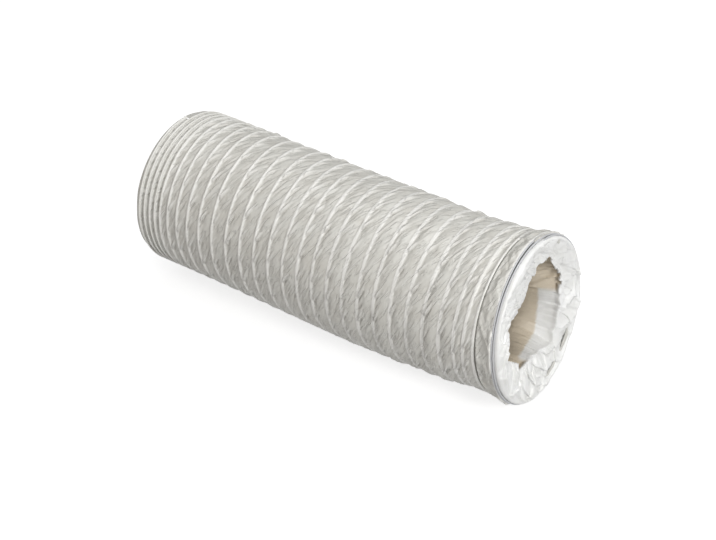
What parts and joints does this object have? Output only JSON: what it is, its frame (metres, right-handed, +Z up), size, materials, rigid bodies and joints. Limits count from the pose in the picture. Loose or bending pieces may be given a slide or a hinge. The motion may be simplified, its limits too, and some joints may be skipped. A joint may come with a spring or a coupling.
{
  "type": "flexible duct",
  "caption": "Flexible round duct: thin white PVC film on a spring wire helix, lying pushed together, its mouth film gathered and tucked inwards.",
  "frame": {"origin": "on the floor under the middle of the duct", "axes": "+X along the duct towards the gathered mouth, +Z up"},
  "size_m": [0.341, 0.1302, 0.1308],
  "materials": {
    "film": "thin soft white PVC film, slightly creased",
    "rib": "film lap stretched over a spring wire"
  },
  "bodies": {
    "root": {"film_sleeve": "film", "spring_wire": "rib"}
  },
  "joints": []
}
